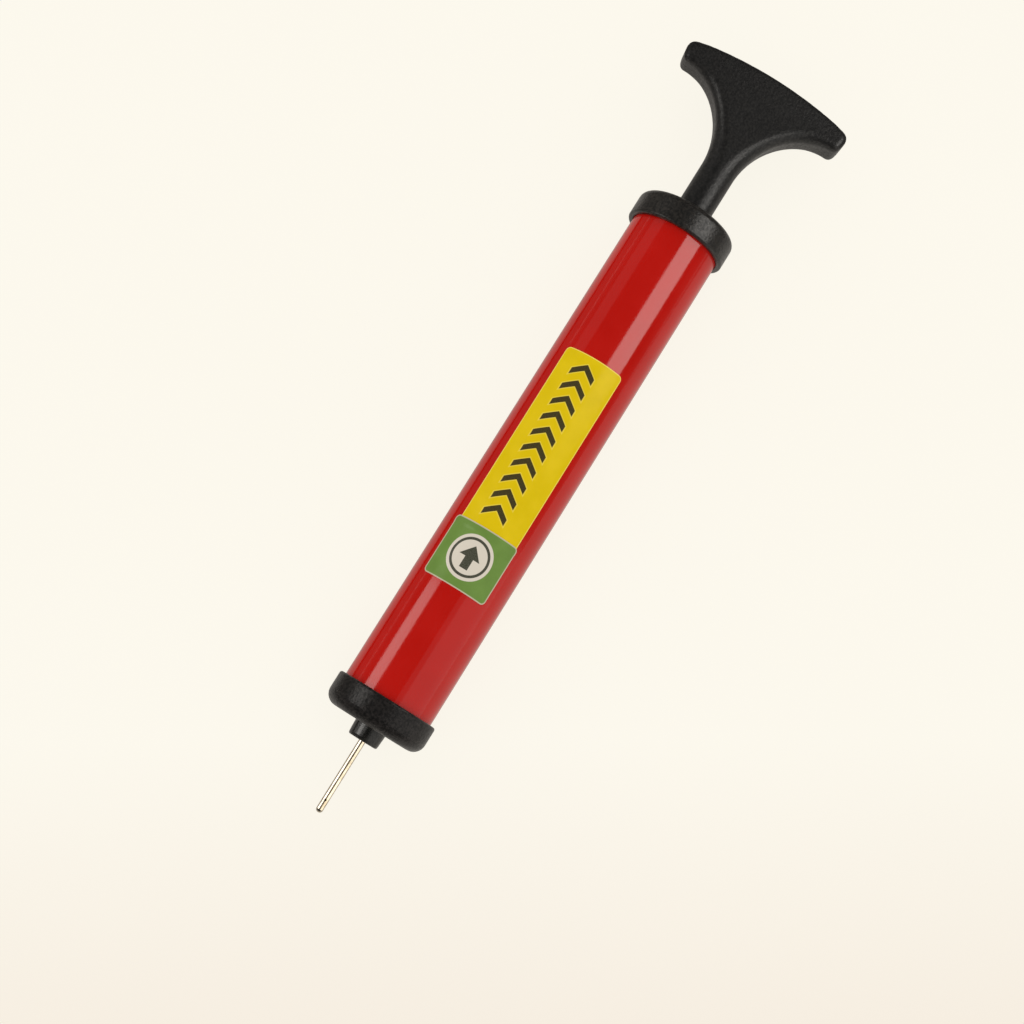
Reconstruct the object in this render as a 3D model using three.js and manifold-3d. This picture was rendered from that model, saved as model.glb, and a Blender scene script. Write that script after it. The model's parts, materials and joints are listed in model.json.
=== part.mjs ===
// Hand pump for sports balls: a T-handle piston pump with a screw-in inflation needle.
//
// Millimetres. Each piece is drawn upright about the pump's axis: +Y runs from the needle's
// tip to the handle, X is across the T-handle and Z is its thickness. Stations along Y count
// from the end face of the nozzle. The last lines lay the pump down along +X with its label
// facing +Z, resting on the rims of its two end caps.

import * as THREE from 'three';
import { mergeVertices } from 'three/addons/utils/BufferGeometryUtils.js';
import Module from 'manifold-3d';

const wasm = await Module();
wasm.setup();

// ---- Driving dimensions ----------------------------------------------------------------

const SIDES = 36; // facets round the barrel and everything that turns inside it
const SMALL_SIDES = 20; // facets round small pieces
const GAP = 0.3; // clearance between neighbouring pieces

const BARREL_RADIUS = 16;
const BARREL_WALL = 1.2;
const BARREL_FOOT = 9.1;
const BARREL_TOP = 201.5;
const BORE_RADIUS = BARREL_RADIUS - BARREL_WALL;

const CAP_RADIUS = 17.9;
const CAP_EDGE = 0.9; // small rounding on the caps' open rims
const BOTTOM_CAP = { foot: 5.0, floor: 7.0, top: 15.5, corner: 4.1 };
const TOP_CAP = { rim: 194.5, plate: 201.8, top: 204.1, corner: 2.3 };
const NECK_RECESS = { radius: 6.5, floor: 203.6 }; // the closed handle's foot sits in it

const NOZZLE = { endRadius: 5.35, rootRadius: 5.7, root: 7.3 };
const PLUG = { radius: 14.5, flangeTop: 8.8, top: 21.6 };
const SOCKET_RADIUS = 4.15; // bore for the needle's thread
const SOCKET_DEPTH = 9.1;
const PASSAGE_RADIUS = 1.3;
const CHAMBER = { radius: 4.0, floor: 12.5, top: 18.6 };
const SEAT_BORE = 5.3;
const PLUG_GROOVE = { floor: 11.8, low: 13.6, high: 16.6 };

const ROD_RADIUS = 4.0;
const ROD_BORE = 3.2;
const ROD_FOOT = 31.5;
const ROD_TOP = 236;
const PISTON = { radius: 14.1, foot: 27.5, groove: 11.2, grooveLow: 30.0, grooveHigh: 35.1, top: 37.6 };
const PISTON_HUB = { radius: 7.2, top: 44.1 };
const PISTON_RING = { cord: 3.0, outer: 14.6, station: 33.3 };
const PISTON_NOTCHES = 4;

const BUSH = { radius: 6.5, bore: 4.15, nose: 5.6, foot: 186.6, shoulder: 191.7, top: BARREL_TOP };
const BUSH_GROOVES = 3;
const BUMPER = { radius: 9.0, foot: 185.9, top: 189.9 };

const NEEDLE_RADIUS = 1.2;
const NEEDLE_BORE = 0.7;
const NEEDLE_TIP = -26.2;
const NEEDLE_TIP_LENGTH = 1.8; // length of the rounded tip
const NEEDLE_THREAD_RADIUS = 3.85;

const NECK_RADIUS = 6.1;
const NECK_FOOT = NECK_RECESS.floor + GAP;
const HANDLE_THICKNESS = 12;
const HANDLE_EDGE = 1.2;
const HANDLE_TOP = 260.5;
const HANDLE_TOP_RADIUS = 143; // crown of the T
const HANDLE_CROWN_END = 27.5; // half width where the crown meets the end's corner
const HANDLE_CURVE = { x: 28.7, y: 223, rx: 22.5, ry: 26.7 }; // hollow under each arm
const HANDLE_END = { low: [30.6, 249.9], high: [32.0, 257.5], lowRadius: 2.6, highRadius: 4.2 };

const LABEL = { inner: BARREL_RADIUS + GAP, outer: BARREL_RADIUS + GAP + 0.2, corner: 1.5 };
const LABEL_PANEL = { left: -11.5, right: 9.5, foot: 77.5, top: 142.5 };
const LABEL_BADGE = { left: -12.7, right: 10.1, foot: 55.8, top: 77.2 };

const COLOURS = {
  red: { color: 0xb01812, roughness: 0.22, metalness: 0 },
  black: { color: 0x24201f, roughness: 0.5, metalness: 0 },
  handle: { color: 0x2a2827, roughness: 0.48, metalness: 0 },
  yellow: { color: 0xd9bb0f, roughness: 0.4, metalness: 0 },
  green: { color: 0x4f7d38, roughness: 0.4, metalness: 0 },
  nickel: { color: 0xc9c4b8, roughness: 0.25, metalness: 1 },
  steel: { color: 0xb9bcc0, roughness: 0.2, metalness: 1 },
  rubber: { color: 0x161616, roughness: 0.8, metalness: 0 },
  nylon: { color: 0xe6e2d6, roughness: 0.5, metalness: 0 },
};

// ---- Helpers ---------------------------------------------------------------------------

const pump = new THREE.Group();

function addPiece(name, geometry, look) {
  const mesh = new THREE.Mesh(geometry, new THREE.MeshStandardMaterial(COLOURS[look]));
  mesh.name = name;
  pump.add(mesh);
}

// Turns a profile of [radius, station] pairs about the pump's axis. The profile runs up the
// outside of the piece and down its inside. A facet, not an edge, faces each of +Z and -Z.
function turned(profile, sides = SIDES) {
  const points = profile.map(([radius, station]) => new THREE.Vector2(radius, station));
  return new THREE.LatheGeometry(points, sides, Math.PI / sides);
}

// A turned piece with a hole through it: the profile closes on itself.
function turnedRing(profile, sides = SIDES) {
  return turned([...profile, profile[0]], sides);
}

// A quarter circle in a profile, from one angle to another in degrees.
function corner(radius, station, size, from, to, steps = 3) {
  const points = [];
  for (let i = 0; i <= steps; i += 1) {
    const angle = THREE.MathUtils.degToRad(from + ((to - from) * i) / steps);
    points.push([radius + size * Math.cos(angle), station + size * Math.sin(angle)]);
  }
  return points;
}

// A plain round section at the given centre, for O-rings.
function ringSection(radius, station, cord, steps = 8) {
  return corner(radius, station, cord / 2, -90, 270, steps).slice(0, steps);
}

function toSolid(geometry) {
  const bare = geometry.clone();
  bare.deleteAttribute('normal');
  bare.deleteAttribute('uv');
  const merged = mergeVertices(bare, 1e-4);
  const index = merged.index.array;
  const kept = [];
  for (let i = 0; i < index.length; i += 3) {
    const [a, b, c] = [index[i], index[i + 1], index[i + 2]];
    if (a !== b && b !== c && c !== a) kept.push(a, b, c);
  }
  return new wasm.Manifold(new wasm.Mesh({
    numProp: 3,
    vertProperties: new Float32Array(merged.attributes.position.array),
    triVerts: new Uint32Array(kept),
  }));
}

function toGeometry(solid) {
  const mesh = solid.getMesh();
  const geometry = new THREE.BufferGeometry();
  geometry.setAttribute('position', new THREE.BufferAttribute(mesh.vertProperties, 3));
  geometry.setIndex(new THREE.BufferAttribute(mesh.triVerts, 1));
  geometry.computeVertexNormals();
  return geometry;
}

function cut(geometry, tools) {
  let solid = toSolid(geometry);
  for (const tool of tools) solid = solid.subtract(toSolid(tool));
  return toGeometry(solid);
}

// A block reaching from the inner to the outer radius, turned about the axis by an angle.
function radialBlock(inner, outer, width, low, high, angle) {
  const block = new THREE.BoxGeometry(outer - inner, high - low, width);
  block.translate((inner + outer) / 2, (low + high) / 2, 0);
  block.rotateY(angle);
  return block;
}

function radialBlocks(count, inner, outer, width, low, high) {
  const blocks = [];
  for (let i = 0; i < count; i += 1) {
    blocks.push(radialBlock(inner, outer, width, low, high, (i * 2 * Math.PI) / count));
  }
  return blocks;
}

// ---- Barrel and end caps ---------------------------------------------------------------

function barrelTube() {
  return turnedRing([
    [BARREL_RADIUS, BARREL_FOOT],
    [BARREL_RADIUS, BARREL_TOP],
    [BORE_RADIUS, BARREL_TOP],
    [BORE_RADIUS, BARREL_FOOT],
  ]);
}

function bottomCap() {
  const { foot, floor, top, corner: size } = BOTTOM_CAP;
  const hole = NOZZLE.rootRadius + GAP + 0.05;
  return turnedRing([
    [hole + GAP, foot],
    ...corner(CAP_RADIUS - size, foot + size, size, -90, 0),
    [CAP_RADIUS, top - CAP_EDGE],
    [CAP_RADIUS - CAP_EDGE, top],
    [BARREL_RADIUS + GAP, top],
    [BARREL_RADIUS + GAP, floor],
    [hole, floor],
    [hole, foot + GAP],
  ]);
}

// The plate carries a tubular boss inside, and a lip in that boss holds the guide bush.
function topCap() {
  const { rim, plate, top, corner: size } = TOP_CAP;
  const hole = ROD_RADIUS + 2 * GAP;
  const bossRadius = 8.8;
  const bossFoot = 190.2;
  return turnedRing([
    [CAP_RADIUS - CAP_EDGE, rim],
    [CAP_RADIUS, rim + CAP_EDGE],
    ...corner(CAP_RADIUS - size, top - size, size, 0, 90),
    [NECK_RECESS.radius, top],
    [NECK_RECESS.radius, NECK_RECESS.floor],
    [hole, NECK_RECESS.floor],
    [hole, plate],
    [BUSH.radius + GAP, plate],
    [BUSH.radius + GAP, BUSH.shoulder - GAP],
    [BUSH.nose + GAP, BUSH.shoulder - GAP],
    [BUSH.nose + GAP, bossFoot],
    [bossRadius, bossFoot],
    [bossRadius, plate],
    [BARREL_RADIUS + GAP, plate],
    [BARREL_RADIUS + GAP, rim],
  ]);
}

// ---- Nozzle plug, its seal and the outlet valve -----------------------------------------

// One moulding: the nozzle outside, a flange trapped between cap and barrel, and a plug in
// the bore that holds the needle's socket, the air passage and the valve's chamber.
function nozzlePlug() {
  const recess = { inner: 7.2, outer: 10.8, top: 12 };
  const chamfer = 0.2;
  const gasketBore = SOCKET_RADIUS + 0.15;
  const gasketTop = 10.8;
  const topChamfer = 0.6;
  return turnedRing([
    [SOCKET_RADIUS + chamfer / 2, 0],
    [NOZZLE.endRadius - chamfer, 0],
    [NOZZLE.endRadius, chamfer],
    [NOZZLE.rootRadius, NOZZLE.root],
    [recess.inner, NOZZLE.root],
    [recess.inner, recess.top],
    [recess.outer, recess.top],
    [recess.outer, NOZZLE.root],
    [BARREL_RADIUS, NOZZLE.root],
    [BARREL_RADIUS, PLUG.flangeTop],
    [PLUG.radius, PLUG.flangeTop],
    [PLUG.radius, PLUG_GROOVE.low],
    [PLUG_GROOVE.floor, PLUG_GROOVE.low],
    [PLUG_GROOVE.floor, PLUG_GROOVE.high],
    [PLUG.radius, PLUG_GROOVE.high],
    [PLUG.radius, PLUG.top - topChamfer],
    [PLUG.radius - topChamfer, PLUG.top],
    [SEAT_BORE, PLUG.top],
    [SEAT_BORE, CHAMBER.top],
    [CHAMBER.radius, CHAMBER.top],
    [CHAMBER.radius, CHAMBER.floor],
    [PASSAGE_RADIUS, CHAMBER.floor],
    [PASSAGE_RADIUS, gasketTop],
    [gasketBore, gasketTop],
    [gasketBore, SOCKET_DEPTH],
    [SOCKET_RADIUS, SOCKET_DEPTH],
    [SOCKET_RADIUS, chamfer / 2],
  ]);
}

function plugORing() {
  const cord = 2.2;
  const station = (PLUG_GROOVE.low + PLUG_GROOVE.high) / 2;
  return turnedRing(ringSection(PLUG.radius - cord / 2, station, cord));
}

// The valve's seat is pressed into the plug from the bore side, with a raised lip below.
function valveSeat() {
  const foot = CHAMBER.top + GAP;
  const lip = { inner: 1.6, outer: 2.4, height: 0.4 };
  return turnedRing([
    [lip.inner, foot],
    [lip.outer, foot],
    [lip.outer, foot + lip.height],
    [SEAT_BORE - GAP, foot + lip.height],
    [SEAT_BORE - GAP, PLUG.top - 0.2],
    [lip.inner, PLUG.top - 0.2],
  ], SMALL_SIDES);
}

class Helix extends THREE.Curve {
  constructor(radius, low, high, turns) {
    super();
    Object.assign(this, { radius, low, high, turns });
  }

  getPoint(t, target = new THREE.Vector3()) {
    const angle = t * this.turns * 2 * Math.PI;
    const height = this.low + t * (this.high - this.low);
    return target.set(this.radius * Math.sin(angle), height, this.radius * Math.cos(angle));
  }
}

function valveSpring() {
  const wire = 0.22;
  const sides = 6;
  const section = new THREE.Shape();
  for (let i = 0; i < sides; i += 1) {
    const angle = (i * 2 * Math.PI) / sides;
    const [x, y] = [wire * Math.cos(angle), wire * Math.sin(angle)];
    if (i === 0) section.moveTo(x, y);
    else section.lineTo(x, y);
  }
  section.closePath();
  const path = new Helix(2.4, CHAMBER.floor + 0.6, 15.2, 3);
  return new THREE.ExtrudeGeometry(section, { steps: 42, bevelEnabled: false, extrudePath: path });
}

function valvePoppet() {
  return turned([
    [0, 13.8],
    [1.3, 13.8],
    [1.6, 14.1],
    [1.6, 15.8],
    [3.4, 15.8],
    [3.4, 17.0],
    [0, 17.0],
  ], SMALL_SIDES);
}

function valvePad() {
  return turned([
    [0, 17.0 + GAP],
    [3.2, 17.0 + GAP],
    [3.2, CHAMBER.top - 0.2],
    [3.0, CHAMBER.top],
    [0, CHAMBER.top],
  ], SMALL_SIDES);
}

// ---- Needle ------------------------------------------------------------------------------

function needleGasket() {
  return turnedRing([
    [1.6, 9.4],
    [4.0, 9.4],
    [4.0, 10.5],
    [1.6, 10.5],
  ], SMALL_SIDES);
}

function needleBase() {
  const low = 0.6;
  const high = 8.9;
  const lead = 0.45;
  const tubeBore = NEEDLE_RADIUS + GAP;
  const tubeStop = 6.3;
  return turnedRing([
    [tubeBore, low],
    [NEEDLE_THREAD_RADIUS - lead, low],
    [NEEDLE_THREAD_RADIUS, low + lead],
    [NEEDLE_THREAD_RADIUS, high - lead],
    [NEEDLE_THREAD_RADIUS - lead, high],
    [1.0, high],
    [1.0, tubeStop],
    [tubeBore, tubeStop],
  ], SMALL_SIDES);
}

// A closed tip, half an ellipse in profile, and an outlet in the side just behind it.
function needleTube() {
  const sides = 16;
  const top = 6.0;
  const boreEnd = NEEDLE_TIP + 2;
  const outletRadius = 0.42;
  const outletStation = NEEDLE_TIP + 4.5;
  const tip = [[0, NEEDLE_TIP]];
  for (const degrees of [30, 60, 90]) {
    const angle = THREE.MathUtils.degToRad(degrees);
    const station = NEEDLE_TIP + NEEDLE_TIP_LENGTH * (1 - Math.cos(angle));
    tip.push([NEEDLE_RADIUS * Math.sin(angle), station]);
  }
  const tube = turned([
    ...tip,
    [NEEDLE_RADIUS, top],
    [NEEDLE_BORE, top],
    [NEEDLE_BORE, boreEnd],
    [0, boreEnd],
  ], sides);
  const outlet = new THREE.CylinderGeometry(outletRadius, outletRadius, 2, 8);
  outlet.rotateX(Math.PI / 2);
  outlet.translate(0, outletStation, 1);
  return cut(tube, [outlet]);
}

// ---- Rod guide ---------------------------------------------------------------------------

// Grooves along the bore let air in behind the piston.
function guideBush() {
  const grooveDepth = 0.75;
  const bush = turnedRing([
    [BUSH.bore, BUSH.foot],
    [BUSH.nose, BUSH.foot],
    [BUSH.nose, BUSH.shoulder],
    [BUSH.radius, BUSH.shoulder],
    [BUSH.radius, BUSH.top],
    [BUSH.bore, BUSH.top],
  ]);
  const [low, high] = [BUSH.foot - 1, BUSH.top + 1];
  const inner = BUSH.bore - 1;
  return cut(bush, radialBlocks(BUSH_GROOVES, inner, BUSH.bore + grooveDepth, 1.2, low, high));
}

function topBumper() {
  const edge = 0.5;
  return turnedRing([
    [BUSH.nose + GAP, BUMPER.foot],
    [BUMPER.radius - edge, BUMPER.foot],
    [BUMPER.radius, BUMPER.foot + edge],
    [BUMPER.radius, BUMPER.top - edge],
    [BUMPER.radius - edge, BUMPER.top],
    [BUSH.nose + GAP, BUMPER.top],
  ]);
}

// ---- Plunger -----------------------------------------------------------------------------

function plungerRod() {
  return turnedRing([
    [ROD_RADIUS, ROD_FOOT],
    [ROD_RADIUS, ROD_TOP],
    [ROD_BORE, ROD_TOP],
    [ROD_BORE, ROD_FOOT],
  ]);
}

// A plug in the rod's end takes the piston's screw.
function rodEndPlug() {
  const top = 43.5;
  const screwBore = 2.0;
  const boreTop = 41;
  return turned([
    [screwBore, ROD_FOOT],
    [ROD_BORE - GAP, ROD_FOOT],
    [ROD_BORE - GAP, top],
    [0, top],
    [0, boreTop],
    [screwBore, boreTop],
    [screwBore, ROD_FOOT],
  ], SMALL_SIDES);
}

// Notches in the lower flange let air past while the piston is pulled back.
function pistonHead() {
  const screwBore = 2.0;
  const edge = 0.6;
  const socket = ROD_RADIUS + GAP;
  const socketFloor = ROD_FOOT - GAP;
  const body = turnedRing([
    [screwBore, PISTON.foot],
    [PISTON.radius - edge, PISTON.foot],
    [PISTON.radius, PISTON.foot + edge],
    [PISTON.radius, PISTON.grooveLow],
    [PISTON.groove, PISTON.grooveLow],
    [PISTON.groove, PISTON.grooveHigh],
    [PISTON.radius, PISTON.grooveHigh],
    [PISTON.radius, PISTON.top - edge],
    [PISTON.radius - edge, PISTON.top],
    [PISTON_HUB.radius, PISTON.top],
    [PISTON_HUB.radius, PISTON_HUB.top - edge],
    [PISTON_HUB.radius - edge, PISTON_HUB.top],
    [socket, PISTON_HUB.top],
    [socket, socketFloor],
    [screwBore, socketFloor],
  ]);
  const [low, high] = [PISTON.foot - 1, PISTON.grooveLow + 0.5];
  return cut(body, radialBlocks(PISTON_NOTCHES, 11.7, PISTON.radius + 1, 4, low, high));
}

function pistonRing() {
  const { cord, outer, station } = PISTON_RING;
  return turnedRing(ringSection(outer - cord / 2, station, cord));
}

function pistonWasher() {
  return turnedRing([
    [2.0, PISTON.foot - 1.2],
    [5.5, PISTON.foot - 1.2],
    [5.5, PISTON.foot - GAP],
    [2.0, PISTON.foot - GAP],
  ], SMALL_SIDES);
}

function pistonScrew() {
  const seat = PISTON.foot - 1.5;
  const screw = turned([
    [0, seat - 2.1],
    [2.2, seat - 1.9],
    [3.2, seat - 1.2],
    [3.4, seat - 0.5],
    [3.4, seat],
    [1.7, seat],
    [1.7, 39.6],
    [0.9, 40.5],
    [0, 40.5],
  ], SMALL_SIDES);
  const recess = [0, 1].map((turn) => {
    const slot = new THREE.BoxGeometry(3.4, 2.4, 0.8);
    slot.rotateY((turn * Math.PI) / 2);
    slot.translate(0, seat - 2.1, 0);
    return slot;
  });
  return cut(screw, recess);
}

// ---- Handle ------------------------------------------------------------------------------

// Drops the points that repeat where two stretches of an outline meet.
function distinct(points) {
  return points.filter((p, i) => i === 0 || p.distanceTo(points[i - 1]) > 0.01);
}

// One half of the T's outline, from the foot of its stem to the middle of its crown.
function halfHandleOutline() {
  const { x, y, rx, ry } = HANDLE_CURVE;
  const { low, high, lowRadius, highRadius } = HANDLE_END;
  const [lowCorner, highCorner] = [new THREE.Vector2(...low), new THREE.Vector2(...high)];
  const along = highCorner.clone().sub(lowCorner).normalize();
  const faceStart = lowCorner.clone().addScaledVector(along, lowRadius);
  const faceEnd = highCorner.clone().addScaledVector(along, -highRadius);
  const crownCentre = HANDLE_TOP - HANDLE_TOP_RADIUS;
  const crownAngle = Math.acos(HANDLE_CROWN_END / HANDLE_TOP_RADIUS);
  const stemHalf = 3.0;
  const stemFoot = 212;

  const path = new THREE.Path();
  path.moveTo(stemHalf, stemFoot);
  path.lineTo(x - rx, y);
  path.absellipse(x, y, rx, ry, Math.PI, Math.PI / 2, true);
  path.quadraticCurveTo(lowCorner.x, lowCorner.y, faceStart.x, faceStart.y);
  path.lineTo(faceEnd.x, faceEnd.y);
  path.quadraticCurveTo(highCorner.x, highCorner.y, HANDLE_CROWN_END,
    crownCentre + HANDLE_TOP_RADIUS * Math.sin(crownAngle));
  path.absarc(0, crownCentre, HANDLE_TOP_RADIUS, crownAngle, Math.PI / 2, false);
  return distinct(path.getPoints(6));
}

function handle() {
  const half = halfHandleOutline();
  const mirrored = half.slice(0, -1).map((p) => new THREE.Vector2(-p.x, p.y)).reverse();
  const depth = HANDLE_THICKNESS - 2 * HANDLE_EDGE;
  const plate = new THREE.ExtrudeGeometry(new THREE.Shape([...half, ...mirrored]), {
    depth,
    bevelThickness: HANDLE_EDGE,
    bevelSize: HANDLE_EDGE,
    bevelOffset: -HANDLE_EDGE,
    bevelSegments: 3,
  });
  plate.translate(0, 0, -depth / 2);
  const edge = 0.6;
  const neck = turned([
    [0, NECK_FOOT],
    [NECK_RADIUS - edge, NECK_FOOT],
    [NECK_RADIUS, NECK_FOOT + edge],
    [NECK_RADIUS, HANDLE_CURVE.y + 12],
    [0, HANDLE_CURVE.y + 18],
  ]);
  const bore = turned([
    [0, NECK_FOOT - 1],
    [ROD_RADIUS + GAP, NECK_FOOT - 1],
    [ROD_RADIUS + GAP, ROD_TOP + GAP],
    [0, ROD_TOP + GAP],
  ]);
  return toGeometry(toSolid(plate).add(toSolid(neck)).subtract(toSolid(bore)));
}

// ---- Labels ------------------------------------------------------------------------------

// A foil wrapped on the barrel: a thin sleeve cut to a rounded rectangle seen from the front.
function label({ left, right, foot, top }) {
  const { inner, outer, corner: size } = LABEL;
  const sleeve = turnedRing([
    [outer, foot - 1],
    [outer, top + 1],
    [inner, top + 1],
    [inner, foot - 1],
  ]);
  const outline = new THREE.Shape();
  outline.moveTo(left + size, foot);
  outline.lineTo(right - size, foot);
  outline.quadraticCurveTo(right, foot, right, foot + size);
  outline.lineTo(right, top - size);
  outline.quadraticCurveTo(right, top, right - size, top);
  outline.lineTo(left + size, top);
  outline.quadraticCurveTo(left, top, left, top - size);
  outline.lineTo(left, foot + size);
  outline.quadraticCurveTo(left, foot, left + size, foot);
  const prism = new THREE.ExtrudeGeometry(outline, {
    depth: 2 * BARREL_RADIUS,
    bevelEnabled: false,
    curveSegments: 3,
  });
  prism.translate(0, 0, 1);
  return toGeometry(toSolid(sleeve).intersect(toSolid(prism)));
}

// ---- The assembly ------------------------------------------------------------------------

addPiece('barrel_tube', barrelTube(), 'red');
addPiece('bottom_cap', bottomCap(), 'black');
addPiece('top_cap', topCap(), 'black');
addPiece('label_panel', label(LABEL_PANEL), 'yellow');
addPiece('label_badge', label(LABEL_BADGE), 'green');
addPiece('nozzle_plug', nozzlePlug(), 'black');
addPiece('plug_o_ring', plugORing(), 'rubber');
addPiece('valve_seat', valveSeat(), 'nylon');
addPiece('valve_spring', valveSpring(), 'steel');
addPiece('valve_poppet', valvePoppet(), 'nylon');
addPiece('valve_pad', valvePad(), 'rubber');
addPiece('needle_gasket', needleGasket(), 'rubber');
addPiece('needle_base', needleBase(), 'nickel');
addPiece('needle_tube', needleTube(), 'nickel');
addPiece('guide_bush', guideBush(), 'nylon');
addPiece('top_bumper', topBumper(), 'rubber');
addPiece('plunger_rod', plungerRod(), 'steel');
addPiece('rod_end_plug', rodEndPlug(), 'nylon');
addPiece('piston_head', pistonHead(), 'nylon');
addPiece('piston_ring', pistonRing(), 'rubber');
addPiece('piston_washer', pistonWasher(), 'steel');
addPiece('piston_screw', pistonScrew(), 'steel');
addPiece('handle', handle(), 'handle');

// Lay the pump along +X with the middle of its length at the origin. The caps rest on one
// facet each, so the axis lies a facet's distance above the ground.
pump.rotation.z = -Math.PI / 2;
pump.position.set(-(NEEDLE_TIP + HANDLE_TOP) / 2, 0, CAP_RADIUS * Math.cos(Math.PI / SIDES));

export default pump;
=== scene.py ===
# Looks of a hand pump for sports balls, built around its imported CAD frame.
#
# Lengths in this script are millimetres. A point on the pump is (station, across, height):
# the station runs along the pump's axis from the nozzle's end face towards the handle, across
# runs towards -Y, and height is above the axis. place() turns such points into metres in the
# frame's own axes. Sizes come from the boxes of the CAD nodes wherever a node gives them.
import cmath
import json
import math

import bmesh
import bpy
import numpy as np
from mathutils import Matrix, Vector


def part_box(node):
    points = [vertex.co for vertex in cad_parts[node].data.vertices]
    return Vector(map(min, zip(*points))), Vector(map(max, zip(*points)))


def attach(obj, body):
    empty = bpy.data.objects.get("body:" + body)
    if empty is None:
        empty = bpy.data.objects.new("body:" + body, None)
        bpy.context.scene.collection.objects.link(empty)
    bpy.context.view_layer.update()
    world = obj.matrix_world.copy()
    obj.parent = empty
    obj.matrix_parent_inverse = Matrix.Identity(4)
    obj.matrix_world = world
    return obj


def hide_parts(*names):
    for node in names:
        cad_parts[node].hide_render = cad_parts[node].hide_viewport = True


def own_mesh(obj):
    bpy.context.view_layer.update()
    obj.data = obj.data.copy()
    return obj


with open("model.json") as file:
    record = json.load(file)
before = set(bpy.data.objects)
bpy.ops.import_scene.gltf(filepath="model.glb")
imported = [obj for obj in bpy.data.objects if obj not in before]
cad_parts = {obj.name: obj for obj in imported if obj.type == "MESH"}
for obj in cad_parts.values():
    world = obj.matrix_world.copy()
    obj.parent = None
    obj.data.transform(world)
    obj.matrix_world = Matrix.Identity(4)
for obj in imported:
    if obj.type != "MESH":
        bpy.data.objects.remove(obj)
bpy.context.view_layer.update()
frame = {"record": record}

MM = 0.001
FACE_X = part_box("nozzle_plug")[0].x  # the nozzle's end face, station 0
AXIS_Z = sum(corner.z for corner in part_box("barrel_tube")) / 2

LARGE_SIDES = 192
MEDIUM_SIDES = 128
SMALL_SIDES = 80
EDGE = 0.15  # usual rounding of a moulded or turned edge
SMOOTH_ANGLE = math.radians(32)  # edges sharper than this stay crisp
HOLD = 0.06  # distance of the extra loops that keep flat faces flat
ARC_STEP = math.radians(11)  # largest turn between two points of a rounded corner
STRAIGHT = math.radians(88)  # half the opening of a corner that is too flat to round

BARREL_WALL = 1.2
CAP_FIT = 0.11  # gap between a cap's skirt and the barrel
CAP_RIM = 0.8
FOIL_LIFT = 0.02
FOIL_THICKNESS = 0.1
FOIL_CORNER = 1.6
FOIL_TUCK = 2.3  # length of the panel's foot that lies under the badge
CAD_FOIL_TOP = 0.5  # how far the outside of the CAD foils lies from the round barrel
CAD_FACET = math.radians(10)  # the CAD barrel has a flat facet, not an edge, on top
THREAD_PITCH = 0.794
CHAMBER_FLOOR = 12.5  # station of the valve chamber's floor
POPPET_DISC = 1.2

RECORD = frame["record"]
BODY_OF = {
    node: body for body, nodes in RECORD["behaviour"]["bodies"].items() for node in nodes
}
SLOT_OF = {part["node"]: part["material_slot"] for part in RECORD["subparts"]}


class Span:
    """Where a CAD node lies: its stations and its radius."""

    def __init__(self, node):
        low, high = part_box(node)
        self.foot = (low.x - FACE_X) / MM
        self.top = (high.x - FACE_X) / MM
        self.radius = (high.z - low.z) / 2 / MM
        self.left = -high.y / MM
        self.right = -low.y / MM


BARREL = Span("barrel_tube")
ROD = Span("plunger_rod")
SKIRT = BARREL.radius + CAP_FIT
ROD_SOCKET = ROD.radius + 0.28

# ---- Mesh helpers ----


def place(points):
    """Frame coordinates, in metres, of (station, across, height) points."""
    points = np.asarray(points, float)
    x = FACE_X + points[:, 0] * MM
    y = -points[:, 1] * MM
    z = AXIS_Z + points[:, 2] * MM
    return np.stack([x, y, z], axis=1)


def add_object(name, data):
    thing = bpy.data.objects.new(name, data)
    bpy.context.scene.collection.objects.link(thing)
    return thing


def new_object(name, points, faces, rounding=0.0):
    """A closed shell, with all its edges rounded if asked."""
    mesh = bpy.data.meshes.new(name)
    mesh.from_pydata(place(points).tolist(), [], faces)
    shell = bmesh.new()
    shell.from_mesh(mesh)
    bmesh.ops.recalc_face_normals(shell, faces=shell.faces)
    if rounding:
        bmesh.ops.bevel(shell, geom=list(shell.edges), offset=rounding * MM, segments=4,
                        profile=0.5, affect="EDGES")
    shell.to_mesh(mesh)
    shell.free()
    return add_object(name, mesh)


def ring_faces(rings, sides, closed=False):
    """Quads between rings of points that follow each other, and back to the first if closed."""
    faces = []
    for k in range(rings if closed else rings - 1):
        here, there = k * sides, (k + 1) % rings * sides
        for i in range(sides):
            j = (i + 1) % sides
            faces.append((here + i, here + j, there + j, there + i))
    return faces


def capped(rings, sides):
    """Quads between rings of points, and a flat face over each end."""
    last = (rings - 1) * sides
    ends = [tuple(range(sides)), tuple(range(last, last + sides))]
    return ring_faces(rings, sides) + ends


def full_turn(sides):
    """Angles evenly spaced round the axis."""
    return np.arange(sides) * 2 * math.pi / sides


def stand_for(piece, material):
    """Finishes a piece named after the CAD node that it stands for and rides with."""
    node = piece.name.removesuffix("_fine")
    mesh = piece.data
    mesh.materials.clear()
    mesh.materials.append(material)
    mesh.polygons.foreach_set("use_smooth", np.ones(len(mesh.polygons), bool))
    mesh.set_sharp_from_angle(angle=SMOOTH_ANGLE)
    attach(piece, BODY_OF[node])
    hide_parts(node)
    return piece


def carve(piece, cutters):
    """Cuts closed shapes out of a piece, and removes them."""
    for cutter in cutters:
        modifier = piece.modifiers.new("cut", "BOOLEAN")
        modifier.operation = "DIFFERENCE"
        modifier.solver = "EXACT"
        modifier.object = cutter
        graph = bpy.context.evaluated_depsgraph_get()
        mesh = bpy.data.meshes.new_from_object(piece.evaluated_get(graph))
        piece.modifiers.clear()
        piece.data = mesh
        bpy.data.objects.remove(cutter)
    return piece


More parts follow.
